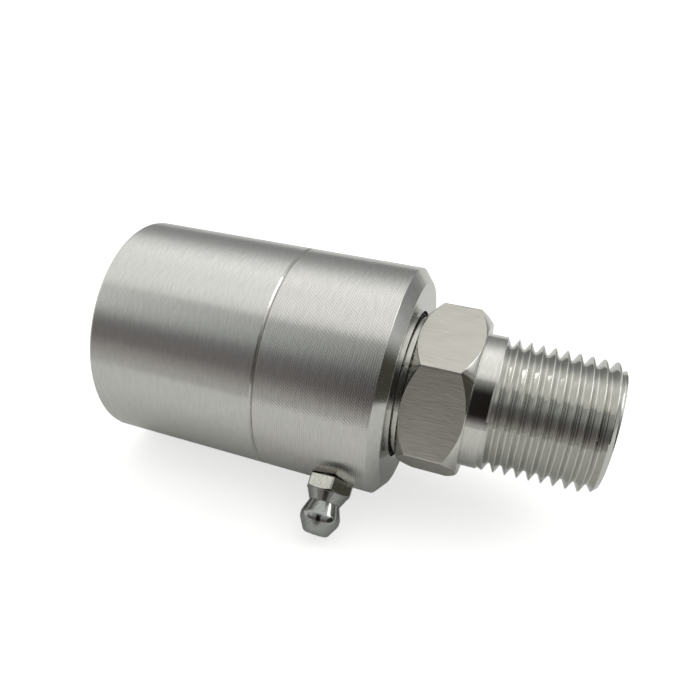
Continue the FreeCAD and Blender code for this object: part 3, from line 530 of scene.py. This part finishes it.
# Spindle: one stainless bar with the seal grooves, the bearing journal, the neck, a 25 mm
# hexagon, a short collar and the half inch taper thread, cut with a die that runs out at the collar.
spindle_low, spindle_high = (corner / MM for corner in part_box("spindle"))
TAIL_START = spindle_low.x
MALE_END = spindle_high.x
JOURNAL_RADIUS = 9
TAIL_BEVEL = 0.6
BORE_BREAK = 0.5
HEX_START = FRONT_FACE + 1
HEX_END = HEX_START + 9.8
HEX_APOTHEM = 12.5
HEX_BEVEL = 12.4
HEX_ROLL = math.radians(11.5)
HEX_BREAK = 0.4
HALF_SIDE = math.radians(30)
FLAT_FACING = 0.1
COLLAR_END = HEX_END + 2.6

# Each groove's start, end and bottom radius
GUIDE_GROOVE = (20.3, 22.3, 8.0)
MAIN_SEAL_GROOVE = (23.4, 26.9, 7.2)
SECOND_SEAL_GROOVE = (28.0, 30.3, 7.2)
CIRCLIP_GROOVE = (34.3, 35.5, 8.5)

# The taper thread is 20.955 mm across at its gauge plane, 8.2 mm from its end. At angle 0 a crest
# passes through THREAD_PHASE. The die left the crests sharper than the standard's 0.249 mm
TAPER = 1 / 16
GAUGE_DIAMETER = 20.955
GAUGE_LENGTH = 8.2
MALE_END_RADIUS = (GAUGE_DIAMETER - GAUGE_LENGTH * TAPER) / 2
MALE_BEVEL = 1
RUN_OUT = 0.9
THREAD_PHASE = 63.4
MALE_CREST_ROUND = 0.12


def hex_radius(angle, roll, apothem, corner_break):
    """Radius of a hexagon at an angle, each corner broken by a small angle in degrees."""
    from_corner = (angle - roll + HALF_SIDE) % (2 * HALF_SIDE) - HALF_SIDE
    away = max(abs(from_corner), math.radians(corner_break))
    return apothem / math.cos(HALF_SIDE - away)


def hex_angles(roll, steps):
    """Angles for one turn, the same steps in degrees on each side, the first repeated at the end."""
    angles = [roll + math.radians(60 * side + step) for side in range(6) for step in steps]
    return angles + [roll + math.tau]


def male_radius(x, angle):
    """Radius of the taper thread at a station and angle."""
    crest = MALE_END_RADIUS + (MALE_END - x) * TAPER / 2
    grown = min(max((x - COLLAR_END) / RUN_OUT, 0), 1)
    height = thread_height(x - angle / math.tau * PITCH - THREAD_PHASE, MALE_CREST_ROUND)
    depth = thread_depth(MALE_CREST_ROUND) - height
    bevel = MALE_END_RADIUS - MALE_BEVEL + (MALE_END - x)
    return min(crest - depth * grown, bevel)


def spindle_profile(angle):
    """Outline of the spindle at an angle, with its hexagon and helical thread."""
    corner = hex_radius(angle, HEX_ROLL, HEX_APOTHEM, HEX_BREAK)
    tail = [
        (TAIL_START, FLOW_RADIUS + BORE_BREAK, 0.1),
        (TAIL_START, JOURNAL_RADIUS - TAIL_BEVEL, 0.1),
        (TAIL_START + TAIL_BEVEL, JOURNAL_RADIUS, 0.1),
    ]
    for start, end, bottom in (GUIDE_GROOVE, MAIN_SEAL_GROOVE, SECOND_SEAL_GROOVE, CIRCLIP_GROOVE):
        tail += [
            (start, JOURNAL_RADIUS, 0.05),
            (start, bottom, 0.1),
            (end, bottom, 0.1),
            (end, JOURNAL_RADIUS, 0.05),
        ]
    head = tail + [
        (BEARING_STOP, JOURNAL_RADIUS, 0.1),
        (BEARING_STOP, NECK_RADIUS, 0.1),
        (HEX_START, NECK_RADIUS, 0.1),
        (HEX_START, HEX_BEVEL, 0.08),
        (HEX_START + corner - HEX_BEVEL, corner, 0.02),
        (HEX_END - corner + HEX_BEVEL, corner, 0.02),
        (HEX_END, HEX_BEVEL, 0.08),
        (HEX_END, male_radius(COLLAR_END, angle), 0.15),
    ]
    points = rounded(head)[:-1]
    for x in thread_stations(angle, COLLAR_END, MALE_END, THREAD_PHASE, MALE_CREST_ROUND):
        points.append((x, male_radius(x, angle)))
    points += [
        (MALE_END, FLOW_RADIUS + BORE_BREAK),
        (MALE_END - BORE_BREAK, FLOW_RADIUS),
        (TAIL_START + BORE_BREAK, FLOW_RADIUS),
    ]
    return points


# The spindle is turned with a sharp tool, so its collar and neck are bright and nearly mirrors
turned_bright = turned_steel("bright_turned_stainless_steel", "E0DFDA", "D2D1CC",
                             roughness=0.11, ring=0.25, depth=0.002, spread=0.5)
spindle_angles = hex_angles(HEX_ROLL, (0, HEX_BREAK, *range(1, 60), 60 - HEX_BREAK))
turning_piece = turned_mesh("turning_piece", spindle_profile, spindle_angles)
give(turning_piece, turned_bright)

# The six flats are milled: duller than the turned faces, with fine wavy marks along the bar. The
# marks are drawn 0.3 mm apart, about three times as coarse as the cutter leaves them
MARK_SPACING = 0.3
MARK_LENGTH = 3
MARK_DEPTH = 0.008
STAIN_SIZE = 4
milled_flat, milled_tree = new_material("milled_stainless_steel")
milled_place = add(milled_tree, "ShaderNodeTexCoord")
stretched = add(milled_tree, "ShaderNodeMapping",
                {"Scale": (1 / (MARK_LENGTH * MM), 1 / (MARK_SPACING * MM), 1 / (MARK_SPACING * MM))},
                {"Vector": milled_place.outputs["Object"]})
milled_marks = add(milled_tree, "ShaderNodeTexNoise", {"Scale": 1.0, "Detail": 3.0, "Distortion": 0.8},
                   {"Vector": stretched.outputs["Vector"]})
milled_contrast = add(milled_tree, "ShaderNodeMapRange", {"From Min": NOISE_LOW, "From Max": NOISE_HIGH},
                      {"Value": milled_marks.outputs["Fac"]})
milled_stains = add(milled_tree, "ShaderNodeTexNoise", {"Scale": 1 / (STAIN_SIZE * MM), "Detail": 3.0},
                    {"Vector": milled_place.outputs["Object"]})
milled_shade = add(milled_tree, "ShaderNodeMath", {"operation": "MULTIPLY"},
                   {0: milled_stains.outputs["Fac"], 1: milled_contrast.outputs["Result"]})
milled_tone = add(milled_tree, "ShaderNodeMix",
                  {"data_type": "RGBA", 6: linear("CCCAC2"), 7: linear("B4B1A8")},
                  {0: milled_shade.outputs[0]})
milled_bump = add(milled_tree, "ShaderNodeBump", {"Strength": 1.0, "Distance": MARK_DEPTH * MM},
                  {"Height": milled_contrast.outputs["Result"]})
milled_steel = add(milled_tree, "ShaderNodeBsdfPrincipled", {"Metallic": 1.0, "Roughness": 0.36},
                   {"Base Color": milled_tone.outputs[2], "Normal": milled_bump.outputs["Normal"]})
add(milled_tree, "ShaderNodeOutputMaterial", {}, {"Surface": milled_steel.outputs["BSDF"]})

# The thread is cut with a die, which leaves the flanks smooth and bright
cut_thread = turned_steel("cut_thread_stainless_steel", "D6D6D1", "CDCDC8",
                          roughness=0.08, ring=0.3, depth=0.0005, spread=0.0)
turning_piece.data.materials.append(milled_flat)
turning_piece.data.materials.append(cut_thread)
for face in turning_piece.data.polygons:
    station = face.center.x / MM
    if HEX_START < station < HEX_END and abs(face.normal.x) < FLAT_FACING:
        face.material_index = 1
    elif station > COLLAR_END:
        face.material_index = 2
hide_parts("spindle")
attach(turning_piece, "spindle")


# Grease nipple: a small steel turning with a bright zinc finish, screwed into the front half. The
# hexagon is 7 mm, a cone runs from it to the neck, and the round head takes the grease gun.
NIPPLE_APOTHEM = 3.5
NIPPLE_ROLL = math.radians(13.6)
NIPPLE_BREAK = 1
NIPPLE_HEX_END = SEAT + 2.3
NIPPLE_NECK = NIPPLE_HEX_END + 1.6
NIPPLE_EQUATOR = NIPPLE_NECK + 2.6
NIPPLE_TIP = NIPPLE_EQUATOR + 2.7
HEX_FACE_INSET = 0.12
SHANK_RADIUS = 3
SHANK_END = TAPPED_END + 0.3
END_WALL = SHANK_END + 0.5
INLET_RADIUS = 0.65
VALVE_BORE = 1.25
MOUTH_RADIUS = 0.7
ROUNDING_STEPS = 5


def nipple_profile(angle):
    """Outline of the nipple at an angle round its own axis."""
    corner = hex_radius(angle, NIPPLE_ROLL, NIPPLE_APOTHEM, NIPPLE_BREAK)
    chamfer = corner - NIPPLE_APOTHEM + HEX_FACE_INSET
    return rounded([
        (SHANK_END, INLET_RADIUS, 0.05),
        (SHANK_END, SHANK_RADIUS, 0.3),
        (SEAT, SHANK_RADIUS, 0.05),
        (SEAT, corner, 0.05),
        (NIPPLE_HEX_END - chamfer * 0.5, corner, 0.05),
        (NIPPLE_HEX_END, NIPPLE_APOTHEM - HEX_FACE_INSET, 0.05),
        (NIPPLE_NECK, 2.62, 0.06),
        (NIPPLE_NECK, 2.5, 0.04),
        (NIPPLE_EQUATOR - 0.4, 3.3, 1.1),
        (NIPPLE_EQUATOR + 0.5, 3.24, 1.1),
        (NIPPLE_TIP, 1.95, 0.5),
        (NIPPLE_TIP, MOUTH_RADIUS, 0.1),
        (NIPPLE_TIP - 0.6, MOUTH_RADIUS, 0.05),
        (NIPPLE_TIP - 1.15, VALVE_BORE, 0.05),
        (END_WALL, VALVE_BORE, 0.05),
        (END_WALL, INLET_RADIUS, 0.05),
    ], ROUNDING_STEPS)


# Bright zinc on a turned face is a cool grey that mirrors small dark and light spots
bright_zinc = turned_steel("bright_zinc_plated_steel", "ABADAB", "9C9E9B",
                           roughness=0.1, ring=0.4, depth=0.002, spread=0.2)
nipple_angles = hex_angles(NIPPLE_ROLL, (0, NIPPLE_BREAK, *range(3, 60, 3), 60 - NIPPLE_BREAK))
greaser = turned_mesh("greaser", nipple_profile, nipple_angles, along_nipple())
give(greaser, bright_zinc)

# Its hexagon is drawn bar, so the plated flats are paler and mottled
MOTTLE_SIZE = 0.45
MOTTLE_DEPTH = 0.012
dull_zinc, dull_tree = new_material("dull_zinc_plated_steel")
dull_place = add(dull_tree, "ShaderNodeTexCoord")
mottle = add(dull_tree, "ShaderNodeTexNoise", {"Scale": 1 / (MOTTLE_SIZE * MM), "Detail": 3.0},
             {"Vector": dull_place.outputs["Object"]})
dull_tone = add(dull_tree, "ShaderNodeMix", {"data_type": "RGBA", 6: linear("E8E8E0"), 7: linear("B4B4AA")},
                {0: mottle.outputs["Fac"]})
dull_bump = add(dull_tree, "ShaderNodeBump", {"Strength": 1.0, "Distance": MOTTLE_DEPTH * MM},
                {"Height": mottle.outputs["Fac"]})
dull_steel = add(dull_tree, "ShaderNodeBsdfPrincipled", {"Metallic": 1.0, "Roughness": 0.15},
                 {"Base Color": dull_tone.outputs[2], "Normal": dull_bump.outputs["Normal"]})
add(dull_tree, "ShaderNodeOutputMaterial", {}, {"Surface": dull_steel.outputs["BSDF"]})
greaser.data.materials.append(dull_zinc)
for face in greaser.data.polygons:
    station = face.center.dot(nipple_out) / MM
    if SEAT < station < NIPPLE_HEX_END and abs(face.normal.dot(nipple_out)) < FLAT_FACING:
        face.material_index = 1
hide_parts("grease_nipple")
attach(greaser, "housing")


# Nipple spring: wound from 0.3 mm spring wire. It sits between the shank's rolled-in end and the
# ball in the nipple's mouth, and gets shorter as a grease gun pushes that ball in.

# The wire's middle at both ends, just clear of the end wall and of the ball
SPRING_START = SHANK_END + 0.67
SPRING_END = NIPPLE_TIP - 2.254
WIRE_RADIUS = 0.15
COIL_RADIUS = 0.75
SPRING_TURNS = 5
STEPS_PER_TURN = 48
WIRE_SIDES = 12


def wound_wire():
    """The spring's wire as a closed tube that follows its helix."""
    shape = bmesh.new()
    rings = []
    steps = SPRING_TURNS * STEPS_PER_TURN
    for step in range(steps + 1):
        share = step / steps
        turn = math.tau * SPRING_TURNS * share
        outward = Vector((0, math.cos(turn), math.sin(turn)))
        station = SPRING_START + (SPRING_END - SPRING_START) * share
        middle = outward * COIL_RADIUS + Vector((station, 0, 0))
        ring = []
        for side in range(WIRE_SIDES):
            around = math.tau * side / WIRE_SIDES
            reach = outward * math.cos(around) + Vector((math.sin(around), 0, 0))
            ring.append(shape.verts.new((middle + reach * WIRE_RADIUS) * MM))
        rings.append(ring)
    for before, after in zip(rings, rings[1:]):
        for side in range(WIRE_SIDES):
            shape.faces.new((before[side - 1], before[side], after[side], after[side - 1]))
    shape.faces.new(rings[0])
    shape.faces.new(rings[-1])
    bmesh.ops.recalc_face_normals(shape, faces=shape.faces)
    shape.transform(along_nipple())
    mesh = bpy.data.meshes.new("valve_spring")
    shape.to_mesh(mesh)
    shape.free()
    piece = bpy.data.objects.new("valve_spring", mesh)
    bpy.context.scene.collection.objects.link(piece)
    soften(piece)
    return piece


valve_spring = wound_wire()
give(valve_spring, blued_steel)
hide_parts("nipple_spring")
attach(valve_spring, "housing")
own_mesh(valve_spring)


# Studio: the piece lies on a white laminate table that ends 110 mm in front of its axis and 90 mm
# past its right end, under a white cloth tent that is darker towards the camera. The camera looks
# from the photograph's place.
FLOOR_HEIGHT = -HOUSING_RADIUS
FLOOR_FRONT = -110
FLOOR_RIGHT = 170
FLOOR_REACH = 3000

# The tent's levels run over its top from the front to the back: degrees from the front horizon,
# brightness, and the shares of red and blue in it
TENT_LOW = -60
TENT_HIGH = 186
TENT_LEVELS = (
    (-60, 0.45, 1.0, 0.96), (-20, 0.45, 1.0, 0.96), (-6, 0.44, 1.02, 0.96), (4, 0.30, 1.08, 0.97),
    (14, 0.18, 1.10, 1.0), (24, 0.18, 1.06, 1.0), (34, 0.22, 0.98, 1.0), (44, 0.38, 0.96, 0.98),
    (54, 0.48, 0.96, 0.98), (68, 0.52, 0.98, 0.98), (72, 0.86, 1.0, 0.98), (84, 1.0, 1.0, 0.98),
    (104, 1.04, 1.0, 0.98), (117, 1.14, 1.0, 0.99), (126, 1.08, 1.0, 0.99), (136, 0.84, 0.99, 0.99),
    (146, 0.55, 0.98, 0.99), (156, 0.38, 0.98, 0.99), (170, 0.28, 0.98, 0.99), (186, 0.36, 1.0, 0.99),
)

world = bpy.data.worlds.new("studio_tent")
bpy.context.scene.world = world
world.use_nodes = True
tent = world.node_tree
tent.nodes.clear()
direction = add(tent, "ShaderNodeTexCoord")
parts = add(tent, "ShaderNodeSeparateXYZ", {}, {"Vector": direction.outputs["Generated"]})
forward = add(tent, "ShaderNodeMath", {"operation": "MULTIPLY", 1: -1.0}, {0: parts.outputs["Y"]})
angle_up = add(tent, "ShaderNodeMath", {"operation": "ARCTAN2"},
               {0: parts.outputs["Z"], 1: forward.outputs[0]})
share = add(tent, "ShaderNodeMapRange",
            {"From Min": math.radians(TENT_LOW), "From Max": math.radians(TENT_HIGH)},
            {"Value": angle_up.outputs[0]})
levels = add(tent, "ShaderNodeValToRGB", {}, {"Fac": share.outputs["Result"]})
while len(levels.color_ramp.elements) < len(TENT_LEVELS):
    levels.color_ramp.elements.new(0.5)
for element, (degrees, level, red, blue) in zip(levels.color_ramp.elements, TENT_LEVELS):
    element.position = (degrees - TENT_LOW) / (TENT_HIGH - TENT_LOW)
    element.color = (level * red, level, level * blue, 1.0)

# Some patches of the tent differ: the dark opening for the camera in front, the open right end,
# and the left end, which is lit through the cloth high up and far out. Each has a colour and soft
# edges, given by what they are measured along, where they start and where the patch is full
east, north, height = (parts.outputs[name] for name in ("X", "Y", "Z"))
climb = angle_up.outputs[0]
tent_patches = (
    ("1C1917", ((east, -0.24, -0.10), (east, 0.34, 0.18),
                (climb, math.radians(-12), math.radians(12)),
                (climb, math.radians(84), math.radians(46)))),
    ("46463E", ((east, 0.70, 0.88), (north, 0.35, 0.10), (height, -0.60, -0.30), (height, 0.52, 0.36))),
    ("F4F4F2", ((east, -0.44, -0.72), (height, 0.36, 0.62))),
    ("F4F4F2", ((east, -0.84, -0.94), (height, -0.15, 0.0))),
)
shown = levels.outputs["Color"]
for colour, edges in tent_patches:
    within = None
    for source, outside, inside in edges:
        edge = add(tent, "ShaderNodeMapRange",
                   {"interpolation_type": "SMOOTHSTEP", "From Min": outside, "From Max": inside},
                   {"Value": source})
        if within is None:
            within = edge.outputs["Result"]
        else:
            within = add(tent, "ShaderNodeMath", {"operation": "MULTIPLY"},
                         {0: within, 1: edge.outputs["Result"]}).outputs[0]
    shown = add(tent, "ShaderNodeMix", {"data_type": "RGBA", 7: linear(colour)},
                {0: within, 6: shown}).outputs[2]

# The background is plain white to the camera and through glass. The metal mirrors the tent itself
rays = add(tent, "ShaderNodeLightPath")
plain_white = add(tent, "ShaderNodeMath", {"operation": "ADD"},
                  {0: rays.outputs["Is Camera Ray"], 1: rays.outputs["Is Transmission Ray"]})
seen = add(tent, "ShaderNodeMix", {"data_type": "RGBA", 7: (1.0, 1.0, 1.0, 1.0)},
           {0: plain_white.outputs[0], 6: shown})
glow = add(tent, "ShaderNodeBackground", {}, {"Color": seen.outputs[2]})
add(tent, "ShaderNodeOutputWorld", {}, {"Surface": glow.outputs["Background"]})

# A small softbox behind and to the right gives the white line on the seam and the soft shadow
SOFTBOX_WIDTH = 300
SOFTBOX_WATTS = 0.6
SOFTBOX_PLACE = (540, 210, 390)
softbox_light = bpy.data.lights.new("softbox", "AREA")
softbox_light.size = SOFTBOX_WIDTH * MM
softbox_light.energy = SOFTBOX_WATTS
softbox = bpy.data.objects.new("softbox", softbox_light)
softbox.location = Vector(SOFTBOX_PLACE) * MM
softbox.rotation_euler = Vector(SOFTBOX_PLACE).to_track_quat("Z", "Y").to_euler()
bpy.context.scene.collection.objects.link(softbox)

# White laminate is matt and nearly even. TABLE_LIFT brings it to white for the camera and through
# glass, and MIRRORED_LIFT brightens it a little in the metal's reflections. Neither lights the piece
# in any other way, and the shadow stays
TABLE_GRAIN = 2
TABLE_LIFT = 0.66
MIRRORED_LIFT = 0.07
table_material, table_tree = new_material("white_laminate_table")
grain_place = add(table_tree, "ShaderNodeTexCoord")
grain = add(table_tree, "ShaderNodeTexNoise", {"Scale": 1 / (TABLE_GRAIN * MM)},
            {"Vector": grain_place.outputs["Object"]})
table_tone = add(table_tree, "ShaderNodeMix", {"data_type": "RGBA", 6: linear("E4E4E2"), 7: linear("E1E1DF")},
                 {0: grain.outputs["Fac"]})
matt = add(table_tree, "ShaderNodeBsdfDiffuse", {}, {"Color": table_tone.outputs[2]})
table_rays = add(table_tree, "ShaderNodeLightPath")
table_seen = add(table_tree, "ShaderNodeMath", {"operation": "ADD"},
                 {0: table_rays.outputs["Is Camera Ray"], 1: table_rays.outputs["Is Transmission Ray"]})
table_lift = add(table_tree, "ShaderNodeMath", {"operation": "MULTIPLY", 1: TABLE_LIFT},
                 {0: table_seen.outputs[0]})
lift = add(table_tree, "ShaderNodeMath", {"operation": "MULTIPLY_ADD", 1: MIRRORED_LIFT},
           {0: table_rays.outputs["Is Glossy Ray"], 2: table_lift.outputs[0]})
white = add(table_tree, "ShaderNodeEmission", {}, {"Strength": lift.outputs[0]})
both = add(table_tree, "ShaderNodeAddShader", {}, {0: matt.outputs["BSDF"], 1: white.outputs["Emission"]})
add(table_tree, "ShaderNodeOutputMaterial", {}, {"Surface": both.outputs["Shader"]})

table_mesh = bpy.data.meshes.new("table")
table_mesh.from_pydata([
    Vector((-FLOOR_REACH, FLOOR_FRONT, FLOOR_HEIGHT)) * MM,
    Vector((FLOOR_RIGHT, FLOOR_FRONT, FLOOR_HEIGHT)) * MM,
    Vector((FLOOR_RIGHT, FLOOR_REACH, FLOOR_HEIGHT)) * MM,
    Vector((-FLOOR_REACH, FLOOR_REACH, FLOOR_HEIGHT)) * MM,
], [], [(0, 1, 2, 3)])
table = bpy.data.objects.new("table", table_mesh)
bpy.context.scene.collection.objects.link(table)
give(table, table_material)

# The camera stands where the photograph's perspective puts it: 660 pixels of focal length on
# 700 pixels of frame, level, turned 22 degrees towards -X and looking down 38 degrees.
CAMERA_PLACE = (65.049, -89.208, 64.409)
CAMERA_RIGHT = (0.92541, 0.37897, 0.0)
CAMERA_DOWN = (0.23399, -0.57132, -0.78666)
FRAME_PIXELS = 700
FOCAL_PIXELS = 659.84
CENTRE_PIXELS = (299.15, 409.85)
SENSOR_WIDTH = 36
NEAREST_SEEN = 5
lens = bpy.data.cameras.new("camera")
lens.sensor_width = SENSOR_WIDTH
lens.lens = FOCAL_PIXELS / FRAME_PIXELS * SENSOR_WIDTH
lens.shift_x = (FRAME_PIXELS / 2 - CENTRE_PIXELS[0]) / FRAME_PIXELS
lens.shift_y = (CENTRE_PIXELS[1] - FRAME_PIXELS / 2) / FRAME_PIXELS
lens.clip_start = NEAREST_SEEN * MM
camera = bpy.data.objects.new("camera", lens)
right = Vector(CAMERA_RIGHT).normalized()
up = -Vector(CAMERA_DOWN).normalized()
back = right.cross(up)
aim = Matrix((right, up, back)).transposed().to_4x4()
camera.matrix_world = Matrix.Translation(Vector(CAMERA_PLACE) * MM) @ aim
bpy.context.scene.collection.objects.link(camera)
bpy.context.scene.camera = camera
bpy.context.scene.view_settings.view_transform = "Standard"
